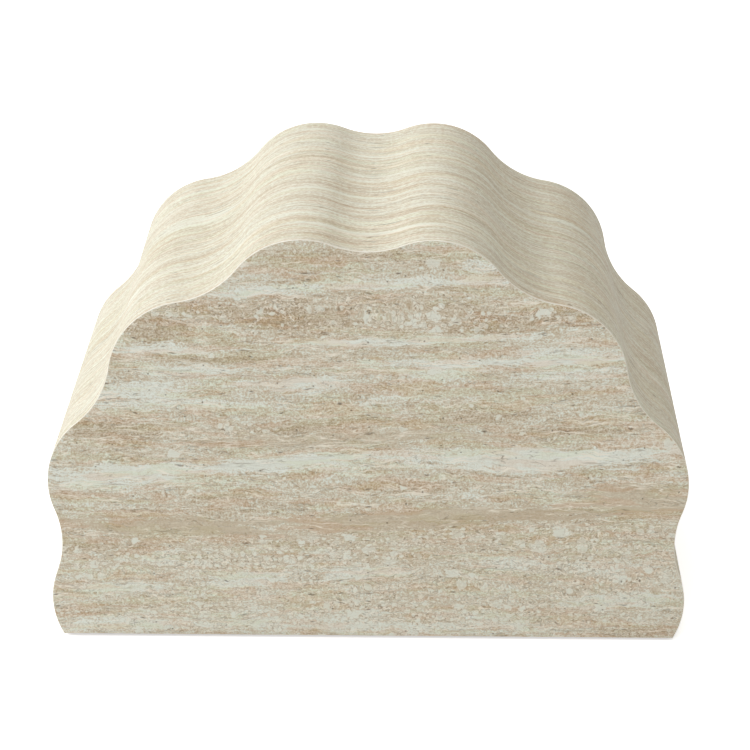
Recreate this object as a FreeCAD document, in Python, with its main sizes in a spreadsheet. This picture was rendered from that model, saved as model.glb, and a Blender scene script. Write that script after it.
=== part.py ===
"""Coffee table with a scalloped half-round outline: a hollow timber carcass under stone-look laminate.

The outline is a round of tangent lobes and valleys, cut off by the flat base that the table stands on.
A front and a back panel carry that outline. Two formers and a ring of battens stand between them, bent
plywood goes round the ring, laminate covers it all, and four glides hold it off the floor.
Frame: origin on the floor under the middle, +X to the right, +Y to the back, +Z up. Millimetres.
"""

import FreeCAD
import Part
import Sketcher
import math
import os
import re

from FreeCAD import Placement, Rotation, Vector

# Driving dimensions: name, millimetres, what it measures
SIZES = [
    ("depth", 390, "front face to back face"),
    ("lobe_circle", 231.5, "radius of the circle that the lobes' centres lie on"),
    ("lobe_radius", 76.4, "radius of a lobe, which bulges outwards"),
    ("valley_radius", 89, "radius of a valley, which curves inwards"),
    ("base_drop", 97, "centre of the round above the flat base"),
    ("laminate", 1, "thickness of the laminate and of the backing sheet"),
    ("edge_bevel", 0.5, "bevel filed along the edges of the face laminates"),
    ("panel", 16, "thickness of the front and back panels"),
    ("rebate_lip", 8, "panel left in front of the rebate for the bent wall"),
    ("ply", 5, "thickness of the bent plywood wall"),
    ("base_board", 16, "thickness of the base board"),
    ("glue_gap", 0.2, "room for glue between fitted pieces"),
    ("former", 12, "thickness of a former"),
    ("former_ring", 48, "former left between the battens and its opening"),
    ("former_foot", 36, "former left between the base board and its opening"),
    ("batten_width", 24, "batten along the wall"),
    ("batten_depth", 34, "batten away from the wall"),
    ("screw_diameter", 5, "panel screw"),
    ("screw_head", 10, "panel screw's countersunk head"),
    ("screw_length", 60, "panel screw, with its head"),
    ("foot_screw_diameter", 4, "screw up into a former"),
    ("foot_screw_head", 8, "countersunk head of that screw"),
    ("foot_screw_length", 45, "length of that screw, with its head"),
    ("screw_tip", 6, "pointed end of a screw"),
    ("recess_span", 4.5, "cross recess in a screw head, tip to tip"),
    ("recess_width", 1.2, "slot of the cross recess"),
    ("recess_depth", 2, "depth of the cross recess"),
    ("dowel_diameter", 8, "dowel between a panel and the base board"),
    ("dowel_length", 40, "dowel's length"),
    ("dowel_bevel", 1, "bevel on a dowel's ends"),
    ("dowel_in_panel", 10, "dowel's length inside the panel"),
    ("hole_spare", 1, "blind hole deeper than what goes into it"),
    ("fixing_inset", 70, "outermost dowel in from the corner of the base board"),
    ("glide_radius", 15, "glide under the base"),
    ("glide_round", 1.2, "rounded lower edge of a glide"),
    ("glide_inset", 45, "glide's centre in from the ends of the board and from the faces"),
    ("glide_rim", 1, "glide above its nail's head"),
    ("nail_head_thickness", 0.8, "head of the nail moulded into a glide"),
    ("nail_cover", 1.2, "glide under its nail's head"),
    ("nail_head", 8, "nail's head across"),
    ("nail_diameter", 2.5, "nail's shank"),
    ("nail_length", 12, "nail inside the base board"),
    ("nail_tip", 4, "pointed end of a nail"),
    ("overrun", 5, "how far a cut runs past what it cuts"),
]

# Counts, shares and angles in degrees
LOBES = 12
HALF_PITCH = 180 / LOBES
FORMERS = ["front_former", "back_former"]
BATTENS = [
    "left_low_batten",
    "left_middle_batten",
    "left_high_batten",
    "top_batten",
    "right_high_batten",
    "right_middle_batten",
    "right_low_batten",
]
DOWEL_SHARES = (-1, 0, 1)
BASE_SCREW_SHARES = (-0.5, 0.5)
FOOT_SCREW_SHARES = (-0.75, 0, 0.75)
COUNTERSINK = 90
QUARTER_TURN, HALF_TURN, FULL_TURN = 90, 180, 360

# Directions, and how a sketch numbers its axes and the points of its lines
ACROSS, BACK, UP = Vector(1, 0, 0), Vector(0, 1, 0), Vector(0, 0, 1)
ACROSS_AXIS, UP_AXIS = range(-1, -3, -1)
START, END, CENTRE = range(1, 4)
ORIGIN = (ACROSS_AXIS, START)

# Formulas that several pieces share, in the names of the sizes
VALLEY_CIRCLE = (
    f"(lobe_circle * cos({HALF_PITCH} deg) + sqrt((lobe_radius + valley_radius)^2"
    f" - (lobe_circle * sin({HALF_PITCH} deg))^2))"
)
GLIDE_HEIGHT = "(nail_cover + nail_head_thickness + glide_rim)"
ROUND_HEIGHT = f"({GLIDE_HEIGHT} + base_drop)"
BOARD_DROP = "(base_drop - laminate)"
FOOT_DROP = "(base_drop - laminate - base_board)"
FACE_BACK = "(depth / 2 - laminate)"
INNER_DEPTH = "(depth - 2 * laminate - 2 * panel)"
WALL_DEPTH = "(depth - 2 * laminate - 2 * rebate_lip)"
CORE_INSET = "(laminate + ply + glue_gap)"
BATTEN_TOP = f"({VALLEY_CIRCLE} - valley_radius - {CORE_INSET})"
BATTEN_MIDDLE = f"({BATTEN_TOP} - batten_depth / 2)"
FIXING_HEIGHT = f"(base_board / 2 - {BOARD_DROP})"
REACH = "(lobe_circle + lobe_radius + overrun)"
SCREW_BITE = "(screw_length - panel + hole_spare)"
DOWEL_BITE = "(dowel_length - dowel_in_panel + hole_spare)"

doc = FreeCAD.newDocument("coffee_table")
sheet = doc.addObject("Spreadsheet::Sheet", "Sizes")
for row, (alias, number, meaning) in enumerate(SIZES, 1):
    sheet.set(f"A{row}", alias)
    sheet.set(f"B{row}", str(number))
    sheet.setAlias(f"B{row}", alias)
    sheet.set(f"C{row}", meaning)
doc.recompute()
ALIASES = {alias for alias, number, meaning in SIZES}


def bind(thing, name, formula):
    """Ties a property to a formula in the names of the sizes."""
    cells = re.sub(r"[a-z_]+", lambda word: f"Sizes.{word[0]}" if word[0] in ALIASES else word[0], formula)
    thing.setExpression(name, cells)


def measure(formula):
    """What a formula in the names of the sizes comes to."""
    return float(sheet.evalExpression(formula))


# Sketches


def new_sketch(body, role, offset=None):
    """An empty sketch on one of the body's own planes, moved along that plane's normal by a formula."""
    sketch = body.newObject("Sketcher::SketchObject", "sketch")
    plane = next(feature for feature in body.Origin.OriginFeatures if feature.Role == role)
    sketch.AttachmentSupport = (plane, [""])
    sketch.MapMode = "FlatFace"
    if offset:
        bind(sketch, "AttachmentOffset.Base.z", offset)
    return sketch


def relate(sketch, kind, *where):
    """A relation with no size, such as tangent or symmetric."""
    sketch.addConstraint(Sketcher.Constraint(kind, *where))


def dimension(sketch, kind, formula, *where):
    """A dimension of the sketch that follows a formula."""
    index = sketch.addConstraint(Sketcher.Constraint(kind, *where, measure(formula)))
    sketch.renameConstraint(index, f"size_{index}")
    bind(sketch, f"Constraints.size_{index}", formula)


def place_point(sketch, point, across, up):
    """Fixes a point of the sketch at two formulas, where "0" puts it on the axis."""
    if across == "0":
        relate(sketch, "PointOnObject", *point, UP_AXIS)
    else:
        dimension(sketch, "DistanceX", across, *ORIGIN, *point)
    if up == "0":
        relate(sketch, "PointOnObject", *point, ACROSS_AXIS)
    else:
        dimension(sketch, "DistanceY", up, *ORIGIN, *point)


def polygon_sketch(body, points):
    """A closed outline of straight lines in the plane of the faces, through pairs of formulas."""
    sketch = new_sketch(body, "XZ_Plane")
    places = [Vector(measure(across), measure(up), 0) for across, up in points]
    for here, there in zip(places, places[1:] + places[:1]):
        sketch.addGeometry(Part.LineSegment(here, there))
    for line, (across, up) in enumerate(points):
        relate(sketch, "Coincident", line, START, (line - 1) % len(points), END)
        place_point(sketch, (line, START), across, up)
    return sketch


def rectangle_sketch(body, left, right, bottom, top):
    return polygon_sketch(body, [(left, bottom), (right, bottom), (right, top), (left, top)])


def circles_sketch(body, role, places, diameter, offset=None):
    """Equal circles at places given as pairs of formulas."""
    sketch = new_sketch(body, role, offset)
    for index, (across, up) in enumerate(places):
        middle = Vector(measure(across), measure(up), 0)
        sketch.addGeometry(Part.Circle(middle, UP, measure(diameter) / 2))
        dimension(sketch, "Diameter", diameter, index)
        place_point(sketch, (index, CENTRE), across, up)
    return sketch


# The scalloped outline. Its arcs are counted in half pitches from the valley at the top,
# up from 0 to the right and down from 0 to the left: even ones are valleys and odd ones are lobes.


def arc_formulas(step, inset):
    """Across, up and radius of an arc of the outline that lies `inset` inside the finished one."""
    circle, radius = VALLEY_CIRCLE, f"(valley_radius + {inset})"
    if step % 2:
        circle, radius = "lobe_circle", f"(lobe_radius - {inset})"
    angle = f"{step * HALF_PITCH} deg"
    return f"({circle} * sin({angle}))", f"({circle} * cos({angle}))", radius


def arc_circle(step, inset):
    """Centre and radius of that arc."""
    across, up, radius = (measure(formula) for formula in arc_formulas(step, inset))
    return Vector(across, up, 0), radius


def junction(step, inset):
    """The point where an arc of the outline runs into the next one to the right."""
    here, here_radius = arc_circle(step, inset)
    there, there_radius = arc_circle(step + 1, inset)
    return here + (there - here) * (here_radius / (here_radius + there_radius))


def last_step(inset, drop):
    """The arc that the base cuts off, on the right."""
    step = 1
    while junction(step, inset).y > -measure(drop):
        step += 1
    return step


def corner(inset, drop):
    """Formula for the distance across from the middle to the corner of the base."""
    step = last_step(inset, drop)
    across, up, radius = arc_formulas(step, inset)
    side = "+" if step % 2 else "-"
    return f"({across} {side} sqrt({radius}^2 - ({drop} + {up})^2))"


def outline_sketch(body, inset, drop):
    """The scalloped outline, `inset` inside the finished one, with its base `drop` below the centre."""
    sketch = new_sketch(body, "XZ_Plane")
    last = last_step(inset, drop)
    steps = list(range(-last, last + 1))
    right_corner = Vector(measure(corner(inset, drop)), -measure(drop), 0)
    left_corner = Vector(-right_corner.x, right_corner.y, 0)
    bends = [left_corner] + [junction(step, inset) for step in steps[:-1]] + [right_corner]
    # From left to right a lobe runs clockwise, so its arc, which runs the other way, ends at its left
    left_end = {step: END if step % 2 else START for step in steps}
    right_end = {step: START if step % 2 else END for step in steps}
    for step, left, right in zip(steps, bends, bends[1:]):
        centre, radius = arc_circle(step, inset)
        first, second = (right - centre, left - centre) if step % 2 else (left - centre, right - centre)
        angles = math.atan2(first.y, first.x), math.atan2(second.y, second.x)
        sketch.addGeometry(Part.ArcOfCircle(Part.Circle(centre, UP, radius), *angles))
    for index, step in enumerate(steps[:-1]):
        relate(sketch, "Tangent", index, right_end[step], index + 1, left_end[step + 1])
    for kind in (0, 1):
        alike = [index for index, step in enumerate(steps) if step % 2 == kind]
        dimension(sketch, "Radius", arc_formulas(kind, inset)[2], alike[0])
        for index in alike[1:]:
            relate(sketch, "Equal", alike[0], index)
    for step in steps:
        across, up, radius = arc_formulas(step, inset)
        if step % 2 and step > 0:
            place_point(sketch, (last + step, CENTRE), across, up)
            relate(sketch, "Symmetric", last - step, CENTRE, last + step, CENTRE, UP_AXIS)
        elif abs(step) == last and not step % 2:
            dimension(sketch, "DistanceX", across, *ORIGIN, last + step, CENTRE)
    base = sketch.addGeometry(Part.LineSegment(left_corner, right_corner))
    relate(sketch, "Coincident", base, START, 0, left_end[-last])
    relate(sketch, "Coincident", base, END, 2 * last, right_end[last])
    relate(sketch, "Horizontal", base)
    dimension(sketch, "DistanceY", f"-{drop}", *ORIGIN, base, START)
    return sketch


# Features


def new_body(label):
    return doc.addObject("PartDesign::Body", label)


def volume(body):
    doc.recompute()
    return body.Shape.Volume


def pad(body, sketch, length):
    """Material from the sketch towards the back."""
    feature = body.newObject("PartDesign::Pad", "pad")
    feature.Profile = sketch
    feature.Reversed = True
    bind(feature, "Length", length)
    return feature


def pocket(body, sketch, length=None, reverse=False):
    """A cut backwards from the sketch or, in reverse, forwards or upwards. With no length it goes through."""
    before = volume(body)
    feature = body.newObject("PartDesign::Pocket", "pocket")
    feature.Profile = sketch
    feature.Reversed = reverse
    if length:
        bind(feature, "Length", length)
    else:
        feature.Type = "ThroughAll"
    if volume(body) >= before:
        raise RuntimeError(f"a pocket in {body.Label} cuts nothing")
    return feature


def countersunk_holes(body, sketch, diameter, head, reverse=False):
    """Through holes with room for countersunk heads at the sketch."""
    before = volume(body)
    hole = body.newObject("PartDesign::Hole", "holes")
    hole.Profile = sketch
    hole.Reversed = reverse
    hole.DepthType = "ThroughAll"
    hole.Threaded = False
    hole.HoleCutType = "Countersink"
    hole.HoleCutCustomValues = True
    hole.HoleCutCountersinkAngle = COUNTERSINK
    bind(hole, "Diameter", diameter)
    bind(hole, "HoleCutDiameter", head)
    if volume(body) >= before:
        raise RuntimeError(f"the holes in {body.Label} cut nothing")


def both_ends(body, places, diameter, length, bite):
    """Blind holes into the front and back ends of a body that is `length` long."""
    pocket(body, circles_sketch(body, "XZ_Plane", places, diameter), bite)
    pocket(body, circles_sketch(body, "XZ_Plane", places, diameter, f"-{length}"), bite, reverse=True)


def face_on_plane(shape, normal):
    """Name of a shape's face that lies on the plane through the origin with that normal."""
    offsets = [abs(face.CenterOfMass.dot(normal)) for face in shape.Faces]
    return f"Face{offsets.index(min(offsets)) + 1}"


def seat(body, across="0", back="0", up="0", axis=UP, turn=0):
    """Puts a body at a place given by formulas, turned about an axis by an angle."""
    body.Placement = Placement(Vector(0, 0, 0), Rotation(axis, turn))
    for name, formula in (("x", across), ("y", back), ("z", up)):
        bind(body, f"Placement.Base.{name}", formula)


def seat_face(body, back, rear):
    """Puts a body that grows backwards from its front plane at the front, or turned round at the back."""
    if rear:
        seat(body, back=back, up=ROUND_HEIGHT, turn=HALF_TURN)
    else:
        seat(body, back=f"-{back}", up=ROUND_HEIGHT)


# Places of the fasteners and glides, as pairs of formulas


def batten_turn(label):
    """Angle of a batten's valley from the top of the round, where the middle one of the list is."""
    return 2 * HALF_PITCH * (BATTENS.index(label) - len(BATTENS) // 2)


def batten_places():
    """Across and up of the battens' middles."""
    angles = [f"{batten_turn(label)} deg" for label in BATTENS]
    return [(f"{BATTEN_MIDDLE} * sin({angle})", f"{BATTEN_MIDDLE} * cos({angle})") for angle in angles]


def base_across(share):
    """A share of the way from the middle of the base to its outermost dowel."""
    return f"{share} * ({corner(CORE_INSET, BOARD_DROP)} - fixing_inset)" if share else "0"


def board_places(shares):
    """Across and up of fasteners in the ends of the base board."""
    return [(base_across(share), FIXING_HEIGHT) for share in shares]


def former_back(label):
    """Formula for the front of a former, where the formers divide the inside evenly."""
    gap = f"(({INNER_DEPTH} - {len(FORMERS)} * former) / {len(FORMERS) + 1})"
    ahead = FORMERS.index(label)
    return f"({ahead + 1} * {gap} + {ahead} * former - {INNER_DEPTH} / 2)"


def foot_screw_places(front="0"):
    """Across and back of the screws that go up into the formers, counted from a front plane."""
    backs = [f"({former_back(label)} + former / 2 + {front})" for label in FORMERS]
    return [(base_across(share), back) for back in backs for share in FOOT_SCREW_SHARES]


def glide_places(front="0"):
    """Across and back of the glides, counted from a front plane."""
    across = f"({corner(CORE_INSET, BOARD_DROP)} - glide_inset)"
    back = "(depth / 2 - glide_inset)"
    return {
        "front_left_glide": (f"-{across}", f"({front} - {back})"),
        "front_right_glide": (across, f"({front} - {back})"),
        "back_left_glide": (f"-{across}", f"({front} + {back})"),
        "back_right_glide": (across, f"({front} + {back})"),
    }


PANEL_SCREW_PLACES = batten_places() + board_places(BASE_SCREW_SHARES)
DOWEL_PLACES = board_places(DOWEL_SHARES)


# Laminate and backing


def face_laminate(label, rear):
    """Sheet with the scalloped outline, its outer edge bevelled."""
    body = new_body(label)
    flat = pad(body, outline_sketch(body, "0", "base_drop"), "laminate")
    doc.recompute()
    bevel = body.newObject("PartDesign::Chamfer", "bevel")
    bevel.Base = (flat, [face_on_plane(flat.Shape, BACK)])
    bind(bevel, "Size", "edge_bevel")
    seat_face(body, "(depth / 2)", rear)
    return body


def wrapped_strip(label, inset, thickness, drop, length):
    """Sheet bent round the outline and open along the base."""
    body = new_body(label)
    pad(body, outline_sketch(body, inset, drop), length)
    pocket(body, outline_sketch(body, f"({inset} + {thickness})", f"({drop} + overrun)"))
    seat(body, back=f"-{length} / 2", up=ROUND_HEIGHT)
    return body


def backing_sheet(label):
    """Plain sheet under the base, between the laminates, pierced by the glides' nails."""
    body = new_body(label)
    pad(body, outline_sketch(body, "(laminate + glue_gap)", "base_drop"), f"(2 * {FACE_BACK})")
    pocket(body, rectangle_sketch(body, f"-{REACH}", REACH, "laminate - base_drop", REACH))
    places = glide_places(FACE_BACK).values()
    pocket(body, circles_sketch(body, "XY_Plane", places, "nail_diameter", "-base_drop"), reverse=True)
    seat(body, back=f"-{FACE_BACK}", up=ROUND_HEIGHT)
    return body


# Carcass


def face_panel(label, rear):
    """Panel with the scalloped outline, rebated round the edge, with countersunk and dowel holes."""
    body = new_body(label)
    pad(body, outline_sketch(body, "laminate", BOARD_DROP), "rebate_lip")
    pad(body, outline_sketch(body, CORE_INSET, BOARD_DROP), "panel")
    screws = circles_sketch(body, "XZ_Plane", PANEL_SCREW_PLACES, "screw_diameter")
    countersunk_holes(body, screws, "screw_diameter", "screw_head")
    dowels = circles_sketch(body, "XZ_Plane", DOWEL_PLACES, "dowel_diameter", "-panel")
    pocket(body, dowels, "dowel_in_panel + hole_spare", reverse=True)
    seat_face(body, FACE_BACK, rear)
    return body


def floor_board(label):
    """Board between the panels, its ends shaped to the bent wall, drilled for its fasteners."""
    body = new_body(label)
    pad(body, outline_sketch(body, CORE_INSET, BOARD_DROP), INNER_DEPTH)
    pocket(body, rectangle_sketch(body, f"-{REACH}", REACH, f"-{FOOT_DROP}", REACH))
    both_ends(body, board_places(BASE_SCREW_SHARES), "screw_diameter", INNER_DEPTH, SCREW_BITE)
    both_ends(body, DOWEL_PLACES, "dowel_diameter", INNER_DEPTH, DOWEL_BITE)
    front = f"({INNER_DEPTH} / 2)"
    nails = circles_sketch(body, "XY_Plane", glide_places(front).values(), "nail_diameter", f"-{BOARD_DROP}")
    pocket(body, nails, "nail_length + hole_spare", reverse=True)
    feet = circles_sketch(body, "XY_Plane", foot_screw_places(front), "foot_screw_diameter", f"-{BOARD_DROP}")
    countersunk_holes(body, feet, "foot_screw_diameter", "foot_screw_head", reverse=True)
    seat(body, back=f"-{front}", up=ROUND_HEIGHT)
    return body


def bent_wall(label, left):
    """Half of the bent plywood wall, from the middle of the top down to the base on one side."""
    body = wrapped_strip(label, "laminate", "ply", BOARD_DROP, WALL_DEPTH)
    if left:
        other_half = rectangle_sketch(body, "-glue_gap / 2", REACH, f"-{REACH}", REACH)
    else:
        other_half = rectangle_sketch(body, f"-{REACH}", "glue_gap / 2", f"-{REACH}", REACH)
    pocket(body, other_half)
    return body


def opening_sketch(body):
    """Round opening with a flat foot."""
    sketch = new_sketch(body, "XZ_Plane")
    radius = f"({BATTEN_TOP} - batten_depth - former_ring)"
    up = f"(former_foot - {FOOT_DROP})"
    across = math.sqrt(measure(radius) ** 2 - measure(up) ** 2)
    left, right = Vector(-across, measure(up), 0), Vector(across, measure(up), 0)
    begin = math.atan2(right.y, right.x)
    circle = Part.Circle(Vector(0, 0, 0), UP, measure(radius))
    sketch.addGeometry(Part.ArcOfCircle(circle, begin, math.pi - begin))
    sketch.addGeometry(Part.LineSegment(left, right))
    relate(sketch, "Coincident", 0, CENTRE, *ORIGIN)
    relate(sketch, "Coincident", 0, START, 1, END)
    relate(sketch, "Coincident", 0, END, 1, START)
    relate(sketch, "Horizontal", 1)
    dimension(sketch, "Radius", radius, 0)
    dimension(sketch, "DistanceY", up, *ORIGIN, 1, START)
    return sketch


def rib(label):
    """Former inside the bent wall, open in the middle, notched for the battens and drilled from below."""
    body = new_body(label)
    pad(body, outline_sketch(body, CORE_INSET, FOOT_DROP), "former")
    pocket(body, opening_sketch(body))
    half = "(batten_width / 2 + glue_gap)"
    bottom = f"({BATTEN_TOP} - batten_depth - glue_gap)"
    notch_sketch = rectangle_sketch(body, f"-{half}", half, bottom, REACH)
    notch = pocket(body, notch_sketch)
    notches = body.newObject("PartDesign::PolarPattern", "notches")
    notches.Originals = [notch]
    notches.Axis = (notch_sketch, ["N_Axis"])
    notches.Angle = FULL_TURN
    notches.Occurrences = LOBES
    body.Tip = notches
    places = [(base_across(share), "former / 2") for share in FOOT_SCREW_SHARES]
    feet = circles_sketch(body, "XY_Plane", places, "foot_screw_diameter", f"-{FOOT_DROP}")
    pocket(body, feet, "foot_screw_length - base_board + hole_spare", reverse=True)
    seat(body, back=former_back(label), up=ROUND_HEIGHT)
    return body


def batten(label):
    """Batten from panel to panel in one valley of the wall, drilled at both ends."""
    body = new_body(label)
    half = "(batten_width / 2)"
    section = rectangle_sketch(body, f"-{half}", half, f"{BATTEN_TOP} - batten_depth", BATTEN_TOP)
    pad(body, section, INNER_DEPTH)
    both_ends(body, [("0", BATTEN_MIDDLE)], "screw_diameter", INNER_DEPTH, SCREW_BITE)
    seat(body, back=f"-{INNER_DEPTH} / 2", up=ROUND_HEIGHT, axis=BACK, turn=batten_turn(label))
    return body


# Glides


def glide(label, across, back):
    """Round nylon glide, hollow where its nail is moulded in."""
    body = new_body(label)
    shank, head = "nail_diameter / 2", "nail_head / 2"
    over_head = "nail_cover + nail_head_thickness"
    half_section = [
        ("0", "0"),
        ("glide_radius", "0"),
        ("glide_radius", GLIDE_HEIGHT),
        (shank, GLIDE_HEIGHT),
        (shank, over_head),
        (head, over_head),
        (head, "nail_cover"),
        ("0", "nail_cover"),
    ]
    profile = polygon_sketch(body, half_section)
    turned = body.newObject("PartDesign::Revolution", "turned")
    turned.Profile = profile
    turned.ReferenceAxis = (profile, ["V_Axis"])
    turned.Angle = FULL_TURN
    doc.recompute()
    rounded = body.newObject("PartDesign::Fillet", "rounded")
    rounded.Base = (turned, [face_on_plane(turned.Shape, UP)])
    bind(rounded, "Radius", "glide_round")
    seat(body, across=across, back=back)
    return body


# Fasteners. Each kind is made once, pointing down with its head at the origin, and then copied.


def round_blank(kind, up, **sizes):
    """A cylinder or cone that stands at a height, sized by formulas."""
    blank = doc.addObject(f"Part::{kind}", "blank")
    for name, formula in sizes.items():
        bind(blank, name, formula)
    bind(blank, "Placement.Base.z", up)
    return blank


def slot_blank(across, back):
    """One slot of a cross recess."""
    blank = doc.addObject("Part::Box", "blank")
    for name, axis, formula in (("Length", "x", across), ("Width", "y", back)):
        bind(blank, name, formula)
        bind(blank, f"Placement.Base.{axis}", f"-{formula} / 2")
    bind(blank, "Height", "recess_depth")
    bind(blank, "Placement.Base.z", "-recess_depth")
    return blank


def joined(*blanks):
    whole = doc.addObject("Part::MultiFuse", "blank")
    whole.Shapes = list(blanks)
    return whole


def screw_blank(diameter, head, length):
    """Countersunk screw with a pointed tip and a cross recess."""
    shank, rim = f"{diameter} / 2", f"{head} / 2"
    sink = f"({rim} - {shank})"
    top = round_blank("Cone", f"-{sink}", Radius1=shank, Radius2=rim, Height=sink)
    middle_length = f"({length} - screw_tip - {sink})"
    middle = round_blank("Cylinder", f"screw_tip - {length}", Radius=shank, Height=middle_length)
    tip = round_blank("Cone", f"-{length}", Radius1="0", Radius2=shank, Height="screw_tip")
    screw = doc.addObject("Part::Cut", "blank")
    screw.Base = joined(top, middle, tip)
    screw.Tool = joined(slot_blank("recess_span", "recess_width"), slot_blank("recess_width", "recess_span"))
    return screw


def dowel_blank():
    """Dowel with bevelled ends."""
    full, small = "dowel_diameter / 2", "dowel_diameter / 2 - dowel_bevel"
    straight = "dowel_length - 2 * dowel_bevel"
    middle = round_blank("Cylinder", "dowel_bevel - dowel_length", Radius=full, Height=straight)
    lower = round_blank("Cone", "-dowel_length", Radius1=small, Radius2=full, Height="dowel_bevel")
    upper = round_blank("Cone", "-dowel_bevel", Radius1=full, Radius2=small, Height="dowel_bevel")
    return joined(middle, lower, upper)


def nail_blank():
    """Flat-headed nail that goes through the glide and the backing sheet into the base board."""
    length = f"({GLIDE_HEIGHT} - nail_cover + laminate + nail_length)"
    shank = "nail_diameter / 2"
    thick = "nail_head_thickness"
    head = round_blank("Cylinder", f"-{thick}", Radius="nail_head / 2", Height=thick)
    middle = round_blank("Cylinder", f"nail_tip - {length}", Radius=shank, Height=f"{length} - nail_tip")
    tip = round_blank("Cone", f"-{length}", Radius1="0", Radius2=shank, Height="nail_tip")
    return joined(head, middle, tip)


INTO_FRONT = Rotation(ACROSS, QUARTER_TURN)
INTO_BACK = Rotation(UP, HALF_TURN) * INTO_FRONT
INTO_BASE = Rotation(BACK, HALF_TURN)


def fasteners(label, blank, places, turn, back="0", up=ROUND_HEIGHT):
    """Copies of one fastener, side by side at pairs of formulas, turned and moved together."""
    doc.recompute()
    copies = []
    for across, along in places:
        copies.append(blank.Shape.copy())
        copies[-1].Placement = Placement(Vector(measure(across), measure(along), 0), Rotation())
    group = doc.addObject("Part::Feature", label)
    group.Shape = Part.Compound(copies)
    group.Placement = Placement(Vector(0, measure(back), measure(up)), turn)
    return group


def all_fasteners():
    panel_screw = screw_blank("screw_diameter", "screw_head", "screw_length")
    foot_screw = screw_blank("foot_screw_diameter", "foot_screw_head", "foot_screw_length")
    dowel = dowel_blank()
    nail = nail_blank()
    dowel_back = f"({FACE_BACK} - panel + dowel_in_panel)"
    board_bottom = f"{GLIDE_HEIGHT} + laminate"
    return [
        fasteners("front_panel_screws", panel_screw, PANEL_SCREW_PLACES, INTO_FRONT, back=f"-{FACE_BACK}"),
        fasteners("back_panel_screws", panel_screw, PANEL_SCREW_PLACES, INTO_BACK, back=FACE_BACK),
        fasteners("front_dowels", dowel, DOWEL_PLACES, INTO_FRONT, back=f"-{dowel_back}"),
        fasteners("back_dowels", dowel, DOWEL_PLACES, INTO_BACK, back=dowel_back),
        fasteners("former_screws", foot_screw, foot_screw_places(), INTO_BASE, up=board_bottom),
        fasteners("glide_nails", nail, glide_places().values(), INTO_BASE, up="nail_cover"),
    ]


# Assembly

parts = [
    floor_board("base_board"),
    *map(rib, FORMERS),
    *map(batten, BATTENS),
    face_panel("front_panel", rear=False),
    face_panel("back_panel", rear=True),
    bent_wall("left_bent_wall", left=True),
    bent_wall("right_bent_wall", left=False),
    wrapped_strip("wall_laminate", "0", "laminate", "base_drop", f"(2 * {FACE_BACK})"),
    face_laminate("front_laminate", rear=False),
    face_laminate("back_laminate", rear=True),
    backing_sheet("base_sheet"),
    *(glide(label, *place) for label, place in glide_places().items()),
    *all_fasteners(),
]
doc.recompute()
for thing in doc.Objects:
    if {"Invalid", "Error"} & set(thing.State):
        raise RuntimeError(f"{thing.Label} failed: {thing.State}")
for part in parts:
    if part.Shape.isNull() or not part.Shape.isValid():
        raise RuntimeError(f"{part.Label} has no valid shape")
os.makedirs("parts", exist_ok=True)
for part in parts:
    part.Shape.exportStep(f"parts/{part.Label}.step")
    print(f"{part.Label}: {len(part.Shape.Solids)} solids, {part.Shape.Volume:.1f} mm3")
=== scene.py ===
import bpy
import numpy as np
from mathutils import Matrix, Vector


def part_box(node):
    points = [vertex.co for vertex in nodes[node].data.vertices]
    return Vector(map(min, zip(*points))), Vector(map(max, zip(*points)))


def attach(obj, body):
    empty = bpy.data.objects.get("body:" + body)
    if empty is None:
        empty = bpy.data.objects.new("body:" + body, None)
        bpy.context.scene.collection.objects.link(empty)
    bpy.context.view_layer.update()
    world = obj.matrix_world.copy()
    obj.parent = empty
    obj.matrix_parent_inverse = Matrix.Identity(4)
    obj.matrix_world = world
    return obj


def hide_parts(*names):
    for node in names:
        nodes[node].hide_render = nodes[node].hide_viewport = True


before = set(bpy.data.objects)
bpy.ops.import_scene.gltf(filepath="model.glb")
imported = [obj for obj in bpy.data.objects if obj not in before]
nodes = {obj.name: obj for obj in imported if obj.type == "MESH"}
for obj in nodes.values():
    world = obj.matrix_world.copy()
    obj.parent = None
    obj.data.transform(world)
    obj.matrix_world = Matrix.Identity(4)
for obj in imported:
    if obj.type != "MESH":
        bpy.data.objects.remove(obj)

bpy.context.view_layer.update()
BODY = "root"
MM = 0.001

# Base board and face panels
# Boards of raw medium-density fibreboard, routed to the scalloped outline and rebated round the edge.
# The base board joins the two panels at the foot. Laminate covers all of it in use.


def linear(code):
    """An sRGB hex colour as linear red, green, blue and full opacity, by the sRGB curve."""
    part = np.array([int(code[i:i + 2], 16) for i in (0, 2, 4)]) / 255
    curved = np.where(part <= 0.04045, part / 12.92, ((part + 0.055) / 1.055) ** 2.4)
    return (*curved.tolist(), 1.0)


def add(tree, kind, *inputs, stops=(), **named):
    """Adds a shader node and gives its first output in use. A name that starts with a small letter is a
    setting of the node, and one that starts with a capital is a socket. Inputs fill the sockets in order,
    a socket among the values is linked, and stops fill a colour ramp, its two ends first."""
    node = tree.nodes.new("ShaderNode" + kind)
    settings = [key for key in named if key[0].islower()]
    for key in settings:
        setattr(node, key, named.pop(key))
    in_use = [socket for socket in node.inputs if socket.enabled]
    by_name = [(node.inputs[key.replace("_", " ")], value) for key, value in named.items()]
    for socket, value in [*zip(in_use, inputs), *by_name]:
        if isinstance(value, bpy.types.NodeSocket):
            tree.links.new(value, socket)
        else:
            socket.default_value = value
    for number, (place, code) in enumerate(stops):
        ramp = node.color_ramp.elements
        stop = ramp[number] if number < 2 else ramp.new(place)
        stop.position = place
        stop.color = linear(code)
    return next((socket for socket in node.outputs if socket.enabled), None)


def new_finish(name):
    """A new material with its node tree and its surface shader."""
    material = bpy.data.materials.new(name)
    material.use_nodes = True
    return material, material.node_tree, material.node_tree.nodes["Principled BSDF"]


def coat(names, material):
    """Puts a material into the slot of each CAD node named."""
    for name in names:
        nodes[name].material_slots[0].material = material


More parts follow.
